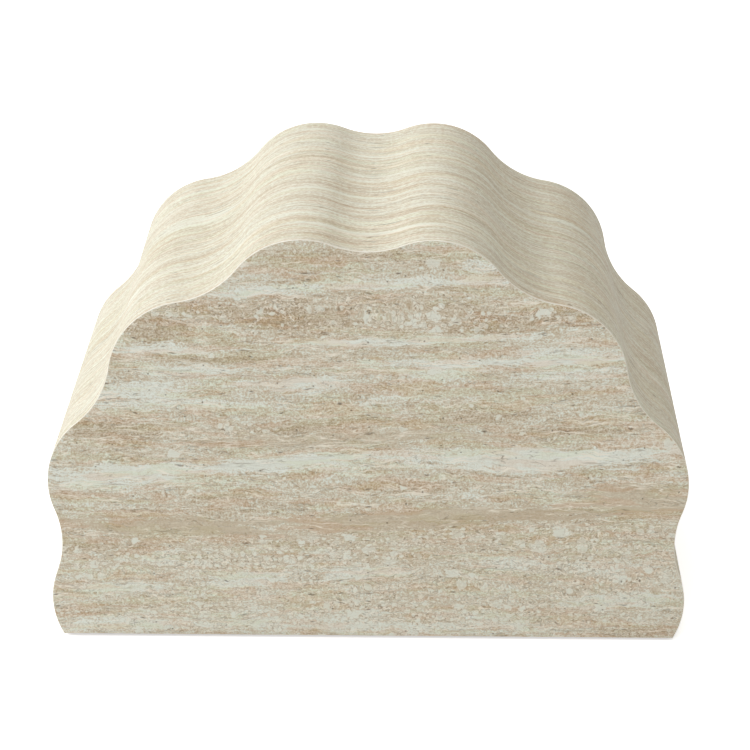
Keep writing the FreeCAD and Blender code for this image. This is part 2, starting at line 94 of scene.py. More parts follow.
# Raw fibreboard: pressed fibres give an even warm brown, with paler and darker flecks and no grain
FIBRE_LENGTH = 2.4 * MM
CLOUD_SIZE = 45 * MM
fibreboard, tree, shader = new_finish("raw_fibreboard")
place = add(tree, "TexCoord").node.outputs["Object"]
fibre = add(tree, "TexNoise", place, Scale=1 / FIBRE_LENGTH, Detail=3.0, Roughness=0.7)
cloud = add(tree, "TexNoise", place, Scale=1 / CLOUD_SIZE, Detail=2.0)
blend = add(tree, "Mix", 0.3, fibre, cloud, data_type="FLOAT")
colour = add(tree, "ValToRGB", blend, stops=((0.3, "8F6F4A"), (0.62, "BE9C72"), (0.48, "AE8C63")))
bump = add(tree, "Bump", Strength=0.25, Distance=0.2 * MM, Height=fibre)
tree.links.new(colour, shader.inputs["Base Color"])
tree.links.new(bump, shader.inputs["Normal"])
shader.inputs["Roughness"].default_value = 0.85
coat(("base_board", "front_panel", "back_panel"), fibreboard)

# Formers and bent walls
# Birch plywood: two flat formers stand across the inside, and thin sheets with the grain along the
# depth are bent over them and over the panels' rebates, then glued.
# Glue lines: half their width as a share of their spacing, and how dark they are
GLUE_SHARE = 0.15
GLUE_STRENGTH = 0.55


def birch_plywood(name, grain_size, glue_lines=None):
    """Peeled birch veneer: pale, with fine straight grain along one way. Darker glue lines show at the cut
    edges where their first distance from the middle of the table's depth and their spacing are given,
    drawn wider than real so that they show."""
    material, tree, shader = new_finish(name)
    place = add(tree, "TexCoord").node.outputs["Object"]
    laid = add(tree, "Mapping", place, Scale=[1 / size for size in grain_size])
    grain = add(tree, "TexNoise", laid, Scale=1.0, Detail=4.0, Roughness=0.6, Distortion=0.3)
    veneer = add(tree, "ValToRGB", grain, stops=((0.3, "C9A877"), (0.7, "E3CCA2"), (0.5, "D8BD90")))
    colour = veneer
    if glue_lines:
        first, spacing = glue_lines
        through = add(tree, "SeparateXYZ", place).node.outputs["Y"]
        away = add(tree, "Math", through, operation="ABSOLUTE")
        away = add(tree, "Math", away, first, operation="SUBTRACT")
        level = add(tree, "Math", away, spacing / 2, operation="PINGPONG")
        line = add(tree, "MapRange", level, 0.0, GLUE_SHARE * spacing, GLUE_STRENGTH, 0.0)
        colour = add(tree, "Mix", line, veneer, linear("7A5A38"), data_type="RGBA")
    bump = add(tree, "Bump", Strength=0.2, Distance=0.1 * MM, Height=grain)
    tree.links.new(colour, shader.inputs["Base Color"])
    tree.links.new(bump, shader.inputs["Normal"])
    shader.inputs["Roughness"].default_value = 0.6
    return material


GRAIN_LENGTH = 160 * MM
GRAIN_WIDTH = 2.5 * MM
PLIES = 9
former_low, former_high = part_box("front_former")
ply = (former_high.y - former_low.y) / PLIES
first_line = ply / 2 - former_high.y
grain_across = (GRAIN_LENGTH, GRAIN_WIDTH, GRAIN_WIDTH)
grain_in_depth = (GRAIN_WIDTH, GRAIN_LENGTH, GRAIN_WIDTH)
flat_plywood = birch_plywood("birch_plywood_flat", grain_across, (first_line, ply))
bent_plywood = birch_plywood("birch_plywood_bent", grain_in_depth)
coat(("front_former", "back_former"), flat_plywood)
coat(("left_bent_wall", "right_bent_wall"), bent_plywood)

# Battens
# Sawn and planed pine battens, one behind each valley of the outline, let into the formers and glued
# between the panels, so that the bent walls have something to be pressed against.
# Planed pine: pale, with a darker line at each ring, swaying slowly along the batten, and fine pores
RING_WIDTH = 3.5 * MM
PORE = (1 * MM, 50 * MM, 1 * MM)
SLOW = 0.08
# One wave of the texture is this long at scale one
WAVE_LENGTH = 2 * np.pi / 20
pine, tree, shader = new_finish("planed_pine")
place = add(tree, "TexCoord").node.outputs["Object"]
sway = add(tree, "Mapping", place, Scale=(1.0, SLOW, 1.0))
rings = add(
    tree, "TexWave", sway, Scale=WAVE_LENGTH / RING_WIDTH, Distortion=3.0, Detail=2.0,
    wave_type="RINGS", rings_direction="Y", wave_profile="SAW",
)
fine = add(tree, "Mapping", place, Scale=[1 / size for size in PORE])
pores = add(tree, "TexNoise", fine, Scale=1.0, Detail=2.0)
blend = add(tree, "Mix", 0.25, rings, pores, data_type="FLOAT")
colour = add(tree, "ValToRGB", blend, stops=((0.1, "E6CB9C"), (0.95, "BE8D50"), (0.6, "DDB97F")))
bump = add(tree, "Bump", Strength=0.2, Distance=0.1 * MM, Height=pores)
tree.links.new(colour, shader.inputs["Base Color"])
tree.links.new(bump, shader.inputs["Normal"])
shader.inputs["Roughness"].default_value = 0.55
sides = [f"{side}_{level}_batten" for side in ("left", "right") for level in ("low", "middle", "high")]
coat((*sides, "top_batten"), pine)

# Dowels
# Turned beech dowels, glued half into each panel and half into the base board's ends.
# Turned beech: a pinkish brown with the wood's fine darker flecks along the dowel
FLECK = (0.6 * MM, 3 * MM, 0.6 * MM)
beech, tree, shader = new_finish("turned_beech")
place = add(tree, "TexCoord").node.outputs["Object"]
laid = add(tree, "Mapping", place, Scale=[1 / size for size in FLECK])
flecks = add(tree, "TexNoise", laid, Scale=1.0, Detail=2.0, Roughness=0.6)
colour = add(tree, "ValToRGB", flecks, stops=((0.32, "A87A52"), (0.5, "CFA57C")))
tree.links.new(colour, shader.inputs["Base Color"])
shader.inputs["Roughness"].default_value = 0.5
coat(("front_dowels", "back_dowels"), beech)

# Screws and nails
# Steel screws through the panels into the battens and through the base board into the formers, and a
# nail through each glide, zinc plated: bright grey with a soft cloudiness from the plating bath.
BLOOM = 4 * MM
plated_steel, tree, shader = new_finish("zinc_plated_steel")
place = add(tree, "TexCoord").node.outputs["Object"]
bloom = add(tree, "TexNoise", place, Scale=1 / BLOOM, Detail=3.0)
colour = add(tree, "ValToRGB", bloom, stops=((0.35, "B9BDBF"), (0.65, "D2D3CE")))
sheen = add(tree, "MapRange", bloom, 0.3, 0.7, 0.28, 0.42)
tree.links.new(colour, shader.inputs["Base Color"])
tree.links.new(sheen, shader.inputs["Roughness"])
shader.inputs["Metallic"].default_value = 1.0
coat(("front_panel_screws", "back_panel_screws", "former_screws", "glide_nails"), plated_steel)

# Wall laminate
# One strip of printed high-pressure laminate, bent along the scallops from one base corner over the top
# to the other and glued to the bent walls. Its travertine print runs along the strip.
# The outline's lobes stand on one circle, and its valleys touch the lobes on both sides
LOBE_CIRCLE = 231.5 * MM
LOBE_RADIUS = 76.4 * MM
VALLEY_RADIUS = 89 * MM
HALF_PITCH = np.radians(15)
LAST_ARC = 7
ARC_STEPS = 28
wall_low, wall_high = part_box("wall_laminate")
base_height = wall_low.z
lobe_across = LOBE_CIRCLE * np.sin(HALF_PITCH)
lobe_up = LOBE_CIRCLE * np.cos(HALF_PITCH)
round_height = wall_high.z - lobe_up - LOBE_RADIUS
touching = LOBE_RADIUS + VALLEY_RADIUS
valley_circle = lobe_up + np.sqrt(touching ** 2 - lobe_across ** 2)


def outline(inset, lift):
    """Points along the scallops in width and height, from the left base corner to the right one, this far
    inside the outer face and with the base line lifted. Arc n stands n half pitches from the top. An odd
    one is a lobe with its centre on the lobe circle, and an even one a valley with its centre further
    out, where neighbours touch. Each is swept evenly from join to join, and the end lobes to the base."""
    number = np.arange(-LAST_ARC, LAST_ARC + 1)
    lobe = number % 2 == 1
    bearing = number * HALF_PITCH
    reach = np.where(lobe, LOBE_CIRCLE, valley_circle)
    other = np.where(lobe, valley_circle, LOBE_CIRCLE)
    radius = np.where(lobe, LOBE_RADIUS, VALLEY_RADIUS)
    way = np.where(lobe, 1.0, -1.0)
    sweep = np.arctan2(other * np.sin(HALF_PITCH), way * (other * np.cos(HALF_PITCH) - reach))
    lobe_height = round_height + LOBE_CIRCLE * np.cos(bearing[-1])
    foot = np.arccos((base_height + lift - lobe_height) / (LOBE_RADIUS - inset))
    start = np.full(number.size, -1.0)
    start[0] = (bearing[-1] - foot) / sweep[-1]
    end = -start[::-1]
    step = np.arange(ARC_STEPS) / ARC_STEPS
    along = start[:, None] + (end - start)[:, None] * step
    turn = bearing[:, None] + (way * sweep)[:, None] * along
    spread = np.sin(turn)
    height = np.cos(turn)
    from_centre = (way * radius)[:, None] - inset
    across = (reach * np.sin(bearing))[:, None] + from_centre * spread
    upward = (reach * np.cos(bearing))[:, None] + from_centre * height + round_height
    left_to_right = np.stack([across, upward], -1).reshape(-1, 2)
    return np.vstack([left_to_right, left_to_right[:1] * (-1, 1)])


CREASE = np.radians(30)


def piece_from(name, points, faces):
    """A smooth-shaded mesh object at the origin, creased where faces meet at more than the crease angle."""
    mesh = bpy.data.meshes.new(name)
    mesh.from_pydata(points.tolist(), [], faces)
    mesh.polygons.foreach_set("use_smooth", np.ones(len(mesh.polygons), bool))
    mesh.set_sharp_from_angle(angle=CREASE)
    mesh.update()
    piece = bpy.data.objects.new(name, mesh)
    bpy.context.scene.collection.objects.link(piece)
    return piece


def quads(rows, columns):
    """Corner numbers of the faces between neighbouring rows of a grid, each row joined to its own start."""
    this = np.arange(columns)
    after = (this + 1) % columns
    row = np.arange(rows - 1)[:, None] * columns
    next_row = row + columns
    corners = np.broadcast_arrays(row + this, row + after, next_row + after, next_row + this)
    return np.stack(corners, -1).reshape(-1, 4).tolist()


LAMINATE = 1.0 * MM
DEPTH_ROWS = 17
# The core is bared wider along the edges than a file really leaves it, so that it shows; its pale band
# is also a painted edge highlight
CORE_HIGHLIGHT_BAND = 0.9 * MM
evenly = np.linspace(wall_low.y + CORE_HIGHLIGHT_BAND, wall_high.y - CORE_HIGHLIGHT_BAND, DEPTH_ROWS - 2)
depth_rows = np.concatenate([[wall_low.y], evenly, [wall_high.y]])
outer = outline(0.0, 0.0)
inner = outline(LAMINATE, 0.0)
along = np.concatenate([[0.0], np.cumsum(np.linalg.norm(np.diff(outer, axis=0), axis=1))])
along -= along[-1] / 2
# The strip's section goes along the outer face from front to back and returns along the inner face
section = np.concatenate([depth_rows, depth_rows[::-1]])
side = np.repeat(np.stack([outer, inner], 1), DEPTH_ROWS, axis=1)
strip_points = np.stack([side[..., 0], np.broadcast_to(section, side.shape[:2]), side[..., 1]], -1)
strip_rows, strip_columns = strip_points.shape[:2]
strip_faces = quads(strip_rows, strip_columns)
first_end = list(range(strip_columns))
last_end = [(strip_rows - 1) * strip_columns + number for number in reversed(first_end)]
wall = piece_from("wall_laminate_strip", strip_points.reshape(-1, 3), [*strip_faces, first_end, last_end])
strip_uv = np.stack(np.broadcast_arrays(along[:, None], section), -1).reshape(-1, 2)
corner = np.zeros(len(wall.data.loops), int)
wall.data.loops.foreach_get("vertex_index", corner)
wall.data.uv_layers.new(name="strip").data.foreach_set("uv", strip_uv[corner].ravel())

# Sizes of the print are in millimetres. A bed's edge fades between two values of its gradient, which is 0.5
# on the ellipse, after streaks of a noise have made it ragged. Into the sheet a bed has no end
LENS_FADE = (0.45, 0.57)
EDGE_LENGTH = 42
EDGE_THICKNESS = 3.6
RAGGED = 0.35
ENDLESS = 1000.0
# Waves of the bedding: length, thickness and shift of the noise, and height
WAVES = ((260, 70, 0.0, 7), (36, 16, 0.7, 2.4), (9, 6, 1.9, 1.1))
# The ground tone's slow drift: length, thickness and how far. A smooth bed lightens the tone
DRIFT_LENGTH = 170
DRIFT_THICKNESS = 15
DRIFT = 0.06
SMOOTH_LIFT = 0.16
# Tones between which the crumbly detail fades, and how much of it the palest beds keep
PALE = (0.45, 0.75)
PALE_DETAIL = 0.36
# Clouds of the hues: length, thickness, and where their noise starts and ends to show
HUE_LENGTH = 60
HUE_THICKNESS = 9
HUE_FADE = (0.05, 0.35)
# Share of cells with a pebble: outside the pebble beds, where the squiggles show in full, and where the long
# hairlines have faded
FEW_PEBBLES = 0.015
SOME_PEBBLES = 0.15
MANY_PEBBLES = 0.3
# A patch shorter than this counts as fine, and a hairline longer than this as long
FINE_PATCH = 5
LONG_LINE = 15
# Cells of the pebbles: length and height. A pebble's radius in cells, how rough its edge is, how strongly it
# is filled and how soft its edge is. Its outlines: place, colour and strength. They are drawn wider than in
# the stone, so that they show. The pale outline lies inside the edge, and the dark one outside it is painted
# shade, as beside a raised pebble
PEBBLE_CELLS = ((20, 14), (11, 8), (6, 4.5))
PEBBLE_RADIUS = (0.14, 0.4)
PEBBLE_ROUGH = 0.22
PEBBLE_FILL = (0.3, 0.95)
PEBBLE_EDGE = 1.2
PEBBLE_RIMS_AND_SHADE = ((-0.3, "F0EBDD", 0.5), (0.7, "A08F77", 0.3))
RIM_WIDTH = 0.7
# Pores: length and height of their cells, radius in cells, share of cells that have one, and strength
PORES = ((17, 13, 0.07, 0.14, 0.8), (60, 9, 0.09, 0.12, 0.6), (27, 6, 0.12, 0.07, 0.8))
# The press plate leaves a fine matt texture, drawn a little coarser than real so that it shows
PRESSED = 1.6
# Roughness of dark and of pale stone
MATT = (0.68, 0.56)


def travertine(
    name, grain_of, colours, hues, stretch, ground, beds, patches, lines, pebble_beds=(), smooth_beds=(),
):
    """Printed travertine: beds of stone laid along the first axis of the grain and stacked along the second.
    The bedding sways and ripples. On the ground tone each bed is a lens with a ragged edge that lightens or
    darkens it, and each patch layer does so where a stretched noise is high. The tone picks one of the
    stone's colours, and the hues tint it in clouds. Hairlines, pebbles and pores are drawn over that, the
    pebbles mostly in their beds. Smooth beds are paler and lose the crumbly detail. Stretch draws out the
    waves, the ragged edges, the hues and the pores."""
    material, tree, shader = new_finish(name)
    grain = grain_of(tree)

    def streaks(source, length, thickness, shift, detail):
        """Streaks of a length and thickness in millimetres, as a number about nought."""
        size = [1 / (side * MM) for side in (length, thickness, thickness)]
        moved = add(tree, "Mapping", source, Location=(shift, shift, shift), Scale=size)
        return add(tree, "TexNoise", moved, normalize=False, Scale=1.0, Detail=detail, Roughness=0.6)

    def lens(source, ragged, across, height, half_length, half_thickness, rise, strength):
        """A long bed with tapered ends: its strength inside an ellipse, and nought outside its ragged edge.
        The gradient is one in the middle and falls to nought at twice the ellipse's size."""
        inside = add(
            tree, "Mapping", source, vector_type="TEXTURE",
            Location=(across * MM, height * MM, 0.0), Rotation=(0.0, 0.0, np.arctan(rise / 100)),
            Scale=(2 * half_length * MM, 2 * half_thickness * MM, ENDLESS),
        )
        near = add(tree, "TexGradient", inside, gradient_type="SPHERICAL").node.outputs["Fac"]
        edge = add(tree, "Math", near, ragged, operation="SUBTRACT")
        return add(tree, "MapRange", edge, *LENS_FADE, 0.0, strength, interpolation_type="SMOOTHSTEP")

    # The bedding is pushed up and down by a slow sway, a ripple and a fine crumple
    laid = grain
    for length, thickness, shift, height in WAVES:
        push = streaks(laid, length * stretch, thickness, shift, 1.0)
        push = add(tree, "Math", push, height * MM, operation="MULTIPLY")
        laid = add(tree, "VectorMath", laid, add(tree, "CombineXYZ", 0.0, push, 0.0), operation="ADD")

    # The tone drifts about its ground and takes up the beds. Pale or smooth stone has less crumbly detail
    ragged = streaks(laid, EDGE_LENGTH * stretch, EDGE_THICKNESS, 1.3, 3.0)
    ragged = add(tree, "Math", ragged, RAGGED, operation="MULTIPLY")
    drift = streaks(laid, DRIFT_LENGTH, DRIFT_THICKNESS, 6.1, 2.0)
    tone = add(tree, "Math", drift, DRIFT, ground, operation="MULTIPLY_ADD")
    for bed in beds:
        tone = add(tree, "Math", lens(laid, ragged, *bed), tone, operation="ADD")
    crumbly = add(tree, "MapRange", tone, *PALE, 1.0, PALE_DETAIL, interpolation_type="SMOOTHSTEP")
    for bed in smooth_beds:
        cover = lens(laid, ragged, *bed)
        smooth = add(tree, "Math", 1.0, cover, operation="SUBTRACT")
        crumbly = add(tree, "Math", crumbly, smooth, operation="MULTIPLY")
        tone = add(tree, "Math", cover, SMOOTH_LIFT, tone, operation="MULTIPLY_ADD")

    # In the pebble beds the long hairlines fade, the squiggles show and the fine patches are calmer
    where = FEW_PEBBLES
    for bed in pebble_beds:
        where = add(tree, "Math", lens(laid, ragged, *bed), where, operation="ADD")
    plain = add(tree, "MapRange", where, FEW_PEBBLES, MANY_PEBBLES, 1.0, 0.15)
    pebbly = add(tree, "MapRange", where, FEW_PEBBLES, SOME_PEBBLES, 0.16, 1.0)
    pebbly = add(tree, "Math", pebbly, crumbly, operation="MULTIPLY")
    calm = add(tree, "MapRange", where, FEW_PEBBLES, MANY_PEBBLES, 1.0, 0.7)
    fine = add(tree, "Math", crumbly, calm, operation="MULTIPLY")

    # Patches change the tone, the tone picks the colour, and clouds of the hues tint it
    for length, thickness, shift, detail, low, high, amount in patches:
        patch = streaks(laid, length, thickness, shift, detail)
        patch = add(tree, "MapRange", patch, low, high, 0.0, amount, interpolation_type="SMOOTHSTEP")
        share = fine if length < FINE_PATCH else crumbly
        tone = add(tree, "Math", patch, share, tone, operation="MULTIPLY_ADD")
    stone = add(tree, "ValToRGB", tone, stops=colours)
    for shift, code in hues:
        hue = streaks(laid, HUE_LENGTH * stretch, HUE_THICKNESS, shift, 2.0)
        hue = add(tree, "MapRange", hue, *HUE_FADE, interpolation_type="SMOOTHSTEP")
        stone = add(tree, "Mix", hue, stone, linear(code), data_type="RGBA", blend_type="MULTIPLY")

    # Hairlines lie where a stretched noise crosses a level, and another noise breaks them up
    # A dark line at another level of the same noise as a pale one is painted shade, as beside an embossed
    # ridge
    for length, thickness, shift, level, width, code, strength in lines:
        line = add(tree, "Math", streaks(laid, length, thickness, shift, 1.0), level, operation="SUBTRACT")
        line = add(tree, "Math", line, operation="ABSOLUTE")
        line = add(tree, "MapRange", line, 0.0, width, strength, 0.0)
        broken = streaks(laid, 0.8 * length, 3 * thickness, shift + 2, 1.0)
        broken = add(tree, "MapRange", broken, -0.12, 0.12)
        share = plain if length > LONG_LINE else pebbly
        broken = add(tree, "Math", broken, share, operation="MULTIPLY")
        line = add(tree, "Math", line, broken, operation="MULTIPLY")
        stone = add(tree, "Mix", line, stone, linear(code), data_type="RGBA")

    # Pebbles: rounded pale grains with a thin pale outline and, outside it, a thin dark one of painted
    # shade, in some of the cells within their beds
    if pebble_beds:
        rough = streaks(laid, 5, 4, 33.1, 2.0)
        for length, height in PEBBLE_CELLS:
            spread = add(tree, "Mapping", laid, Scale=(1 / (length * MM), 1 / (height * MM), 1.0))
            cell = add(
                tree, "TexVoronoi", spread, voronoi_dimensions="2D", Scale=1.0, Randomness=0.9,
            ).node.outputs
            chance = add(tree, "SeparateColor", cell["Color"]).node.outputs
            radius = add(tree, "MapRange", chance["Green"], 0.0, 1.0, *PEBBLE_RADIUS)
            chosen = add(tree, "Math", chance["Red"], where, operation="LESS_THAN")
            chosen = add(tree, "Math", chosen, crumbly, operation="MULTIPLY")
            gap = add(tree, "Math", cell["Distance"], radius, operation="SUBTRACT")
            gap = add(tree, "Math", rough, PEBBLE_ROUGH, gap, operation="MULTIPLY_ADD")
            filled = add(tree, "MapRange", chance["Blue"], 0.0, 1.0, *PEBBLE_FILL)
            body = add(tree, "MapRange", gap, -PEBBLE_EDGE / length, 0.02, filled, 0.0)
            body = add(tree, "Math", body, chosen, operation="MULTIPLY")
            stone = add(tree, "Mix", body, stone, linear("E2E4D9"), data_type="RGBA")
            # The pale outline is print, and the dark one outside the edge is painted shade
            for place, code, strength in PEBBLE_RIMS_AND_SHADE:
                rim = add(tree, "Math", gap, place / length, operation="SUBTRACT")
                rim = add(tree, "Math", rim, operation="ABSOLUTE")
                rim = add(tree, "MapRange", rim, 0.0, RIM_WIDTH / length, strength, 0.0)
                rim = add(tree, "Math", rim, chosen, operation="MULTIPLY")
                stone = add(tree, "Mix", rim, stone, linear(code), data_type="RGBA")

    # Pores: dark specks and short dashes, each in a few of its cells
    for length, height, size, share, depth in PORES:
        scale = (1 / (length * stretch * MM), 1 / (height * MM), 1.0)
        spread = add(tree, "Mapping", laid, Scale=scale)
        cell = add(tree, "TexVoronoi", spread, voronoi_dimensions="2D", Scale=1.0).node.outputs
        chance = add(tree, "SeparateColor", cell["Color"]).node.outputs
        chosen = add(tree, "Math", chance["Red"], share, operation="LESS_THAN")
        deep = add(tree, "MapRange", cell["Distance"], 0.3 * size, size, depth, 0.0)
        deep = add(tree, "Math", deep, chosen, operation="MULTIPLY")
        stone = add(tree, "Mix", deep, stone, linear("675A49"), data_type="RGBA")

    # The surface is matt, a little smoother where the stone is pale
    pressed = streaks(grain, PRESSED, PRESSED, 31.0, 0.0)
    bump = add(tree, "Bump", Strength=0.12, Distance=0.1 * MM, Height=pressed)
    tree.links.new(bump, shader.inputs["Normal"])
    tree.links.new(stone, shader.inputs["Base Color"])
    sheen = add(tree, "MapRange", tone, 0.2, 0.8, *MATT)
    tree.links.new(sheen, shader.inputs["Roughness"])
    shader.inputs["Specular IOR Level"].default_value = 0.12
    return material


# The wall's grain is read from the strip: its length along, its depth across
def strip_grain(tree):
    return add(tree, "UVMap", uv_map="strip")


# The strip's print is drawn out along its length, on a paler ground than the faces'
WALL_STRETCH = 3.0
WALL_GROUND = 0.38
# Colours of the stone by tone, the ends of the ramp first, and tints with the shift of their clouds
WALL_STONE = ((0.0, "AA9982"), (1.0, "E8E8D9"), (0.2, "C1AF96"), (0.5, "D1C7B1"), (0.75, "DFDDCD"))
WALL_HUES = ((8.1, "FFF9F5"), (21.7, "FDFEF9"))
# Beds: middle along the strip from its top and across it from its middle, half length, half thickness and
# rise in 100, all in millimetres, and change of tone
WALL_BEDS = (
    (0, -145, 75, 5, 0, 0.4),
    (0, -28, 90, 4, 0, 0.3),
    (-190, 46, 50, 11, 0, 0.24),
    (0, -170, 90, 9, 0, -0.16),
    (30, -132, 90, 6, 0, -0.18),
    (-60, -110, 160, 3, 0, 0.16),
    (-216, -99, 60, 4, 0, 0.16),
    (-190, -73, 90, 6, 0, -0.14),
    (-50, -66, 60, 6, 0, -0.16),
    (40, -50, 120, 3, 0, 0.18),
    (-150, -8, 170, 6, 0, -0.1),
    (200, 17, 120, 4, 0, -0.16),
    (-10, 20, 70, 3, 0, 0.16),
    (0, -95, 110, 4, 0, -0.16),
    (25, -84, 90, 3, 0, 0.14),
    (30, -16, 90, 4, 0, -0.14),
    (-20, 38, 80, 4, 0, 0.14),
    (25, 54, 100, 5, 0, -0.14),
    (160, 64, 90, 5, 0, 0.16),
    (-40, 76, 80, 6, 0, -0.14),
    (-20, 110, 110, 8, 0, 0.1),
    (-60, 150, 220, 6, 0, 0.14),
    (184, 165, 60, 10, 0, -0.14),
)
# Patches: length, thickness and shift of the noise, its detail, where it starts and ends to show, and
# change of tone
WALL_PATCHES = (
    (120, 5, 2.2, 3.0, 0.05, 0.3, 0.1),
    (90, 6, 4.4, 3.0, 0.05, 0.3, -0.08),
    (40, 1.6, 9.4, 1.0, -0.4, 0.8, 0.3),
    (3, 1.8, 3.7, 1.0, -0.5, 0.7, 0.34),
)
# Hairlines: length, thickness and shift of the noise, its level and width, colour and strength
WALL_LINES = (
    (210, 5, 5.3, 0, 0.07, "F2EBDB", 0.65),
    (120, 4, 14.6, 0, 0.08, "F2EBDB", 0.5),
    (170, 5, 11.9, 0, 0.05, "857560", 0.42),
    (80, 4, 17.2, 0, 0.05, "857560", 0.36),
)
wall_print = (WALL_STONE, WALL_HUES, WALL_STRETCH, WALL_GROUND, WALL_BEDS, WALL_PATCHES, WALL_LINES)
wall.data.materials.append(travertine("travertine_print_wall", strip_grain, *wall_print))

# Bared laminate core: resin-soaked paper the colour of cream, with fine paper fibres, seen where a file has
# taken the print off the front and back edges. Its cream is also a painted highlight along those edges
PAPER_FIBRE = (6 * MM, 1.2 * MM, 1.2 * MM)
core_and_highlight, tree, shader = new_finish("bared_core_painted_highlight")
place = add(tree, "TexCoord").node.outputs["Object"]
laid = add(tree, "Mapping", place, Scale=[1 / size for size in PAPER_FIBRE])
fibre = add(tree, "TexNoise", laid, Scale=1.0, Detail=2.0)
colour = add(tree, "ValToRGB", fibre, stops=((0.35, "E5DFD0"), (0.65, "EEEADF")))
tree.links.new(colour, shader.inputs["Base Color"])
shader.inputs["Roughness"].default_value = 0.6
shader.inputs["Specular IOR Level"].default_value = 0.12
wall.data.materials.append(core_and_highlight)
# The faces along the strip's front and back edges take the pale core: bared core and painted edge highlight
edges = (0, DEPTH_ROWS - 2, DEPTH_ROWS - 1, strip_columns - 1)
core_highlight_faces = np.isin(np.arange(len(strip_faces)) % strip_columns, edges)
core_highlight_faces = np.concatenate([core_highlight_faces, [False, False]])
wall.data.polygons.foreach_set("material_index", core_highlight_faces.astype(np.int32))
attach(wall, BODY)
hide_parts("wall_laminate")

# Face laminates
# Sheets of the same laminate on the front and back panels, cut to the outline, with their edges lapped
# over the wall strip and eased with a file, which bares the paler core along the rim. That pale rim is
# also a painted highlight on the eased edge.
FACE_STRETCH = 1.0
FACE_GROUND = 0.2
FACE_STONE = ((0.0, "AB9A82"), (1.0, "E7EBE3"), (0.2, "C2B198"), (0.5, "D2CAB7"), (0.75, "DEE0D5"))
FACE_HUES = ((8.1, "FFF5F0"), (21.7, "FCFDF6"))
# Beds as on the wall, with their middle across from the table's middle and up from the floor
FACE_BEDS = (
    (0, 40, 340, 54, 2, 0.07),
    (0, 262, 320, 24, 2, 0.03),
    (0, 120, 330, 26, 2, -0.05),
    (0, 216, 320, 15, 2, -0.05),
    (0, 330, 200, 18, 0, -0.08),
    (-15, 354, 150, 5, 7, 0.33),
    (-118, 348, 30, 6, 7, 0.18),
    (104, 374, 14, 8, 10, 0.27),
    (60, 308, 130, 4, 5, 0.4),
    (-40, 304, 34, 4, 3, 0.3),
    (-185, 297, 48, 5, 2, 0.38),
    (190, 291, 60, 11, 2, 0.28),
    (90, 283, 150, 4.5, 3, 0.26),
    (68, 271, 48, 8, 4, 0.29),
    (185, 271, 60, 6, 3, 0.21),
    (-165, 274, 62, 5, 3, 0.29),
    (-95, 262, 45, 4, 3, 0.21),
    (-50, 259, 30, 8, 6, 0.3),
    (-205, 252, 38, 10, 4, 0.32),
    (-170, 240, 80, 5, 2, 0.18),
    (15, 245, 20, 4, 10, 0.21),
    (0, 180, 340, 10, 4, 0.3),
    (-235, 170, 80, 8, 1, 0.18),
    (-85, 182, 70, 8, 4, 0.21),
    (140, 184, 62, 12, 2, 0.18),
    (240, 190, 60, 8, 3, 0.15),
    (-200, 158, 95, 4.5, 2, 0.18),
    (100, 150, 15, 6, 0, 0.21),
    (-42, 93, 14, 6, 0, 0.27),
    (-192, 83, 17, 6, 0, 0.27),
    (-245, 52, 44, 7, 5, 0.34),
    (-115, 61, 40, 7, 5, 0.32),
    (-12, 68, 40, 8, 4, 0.3),
    (130, 77, 28, 6, 2, 0.26),
    (235, 75, 42, 8, 3, 0.18),
    (235, 43, 56, 7, 5, 0.34),
    (5, 28, 13, 6, 0, 0.24),
    (-60, 19, 80, 11, 0, 0.2),
    (110, 15, 44, 8, 3, 0.26),
    (-240, 12, 50, 8, 3, 0.24),
    (-150, 13, 55, 8, 2, 0.2),
    (20, 11, 60, 8, 2, 0.18),
    (-190, 315, 34, 10, 2, -0.20),
    (-120, 330, 60, 8, 2, -0.09),
    (-60, 325, 42, 12, 2, -0.16),
    (140, 325, 62, 12, 2, -0.14),
    (0, 382, 110, 8, 2, -0.11),
    (70, 354, 22, 4, 0, -0.20),
    (-150, 287, 78, 3.5, 2, -0.18),
    (32, 300, 26, 2.5, 2, -0.14),
    (-15, 276, 22, 4, 2, -0.11),
    (-240, 212, 52, 12, 2, -0.16),
    (-50, 223, 62, 8, 3, -0.13),
    (100, 229, 52, 8, 3, -0.14),
    (190, 213, 42, 6, 2, -0.13),
    (-120, 201, 160, 6, 2, -0.05),
    (-130, 146, 28, 2.5, 0, -0.18),
    (20, 158, 110, 3, 1, -0.11),
    (170, 130, 135, 8, 4, -0.04),
    (272, 155, 40, 14, 0, -0.05),
    (-200, 115, 95, 10, -1, -0.04),
    (-240, 95, 52, 8, -2, -0.11),
    (0, 118, 72, 8, 3, -0.03),
    (2, 55, 18, 4, 0, -0.13),
    (-260, 24, 36, 8, 3, -0.14),
    (-140, 36, 32, 6, 3, -0.11),
    (250, 12, 45, 8, 3, -0.14),
    (160, 60, 80, 6, 3, -0.05),
)
FACE_PATCHES = (
    (80, 6, 2.2, 3.0, 0.1, 0.24, 0.07),
    (60, 7, 4.4, 3.0, 0.1, 0.26, -0.06),
    (14, 3, 7.7, 2.0, 0.2, 0.34, 0.05),
    (16, 3, 12.3, 2.0, 0.2, 0.36, -0.05),
    (4, 2.8, 3.7, 1.0, 0.2, 0.3, 0.14),
    (3.4, 2.4, 15.1, 1.0, 0.25, 0.35, -0.14),
    (2.6, 1.7, 25.3, 0.0, 0.25, 0.36, 0.14),
    (30, 1.4, 29.4, 1.0, -0.5, 0.5, 0.08),
    (1.5, 1.0, 9.4, 0.0, -0.6, 0.6, 0.46),
)
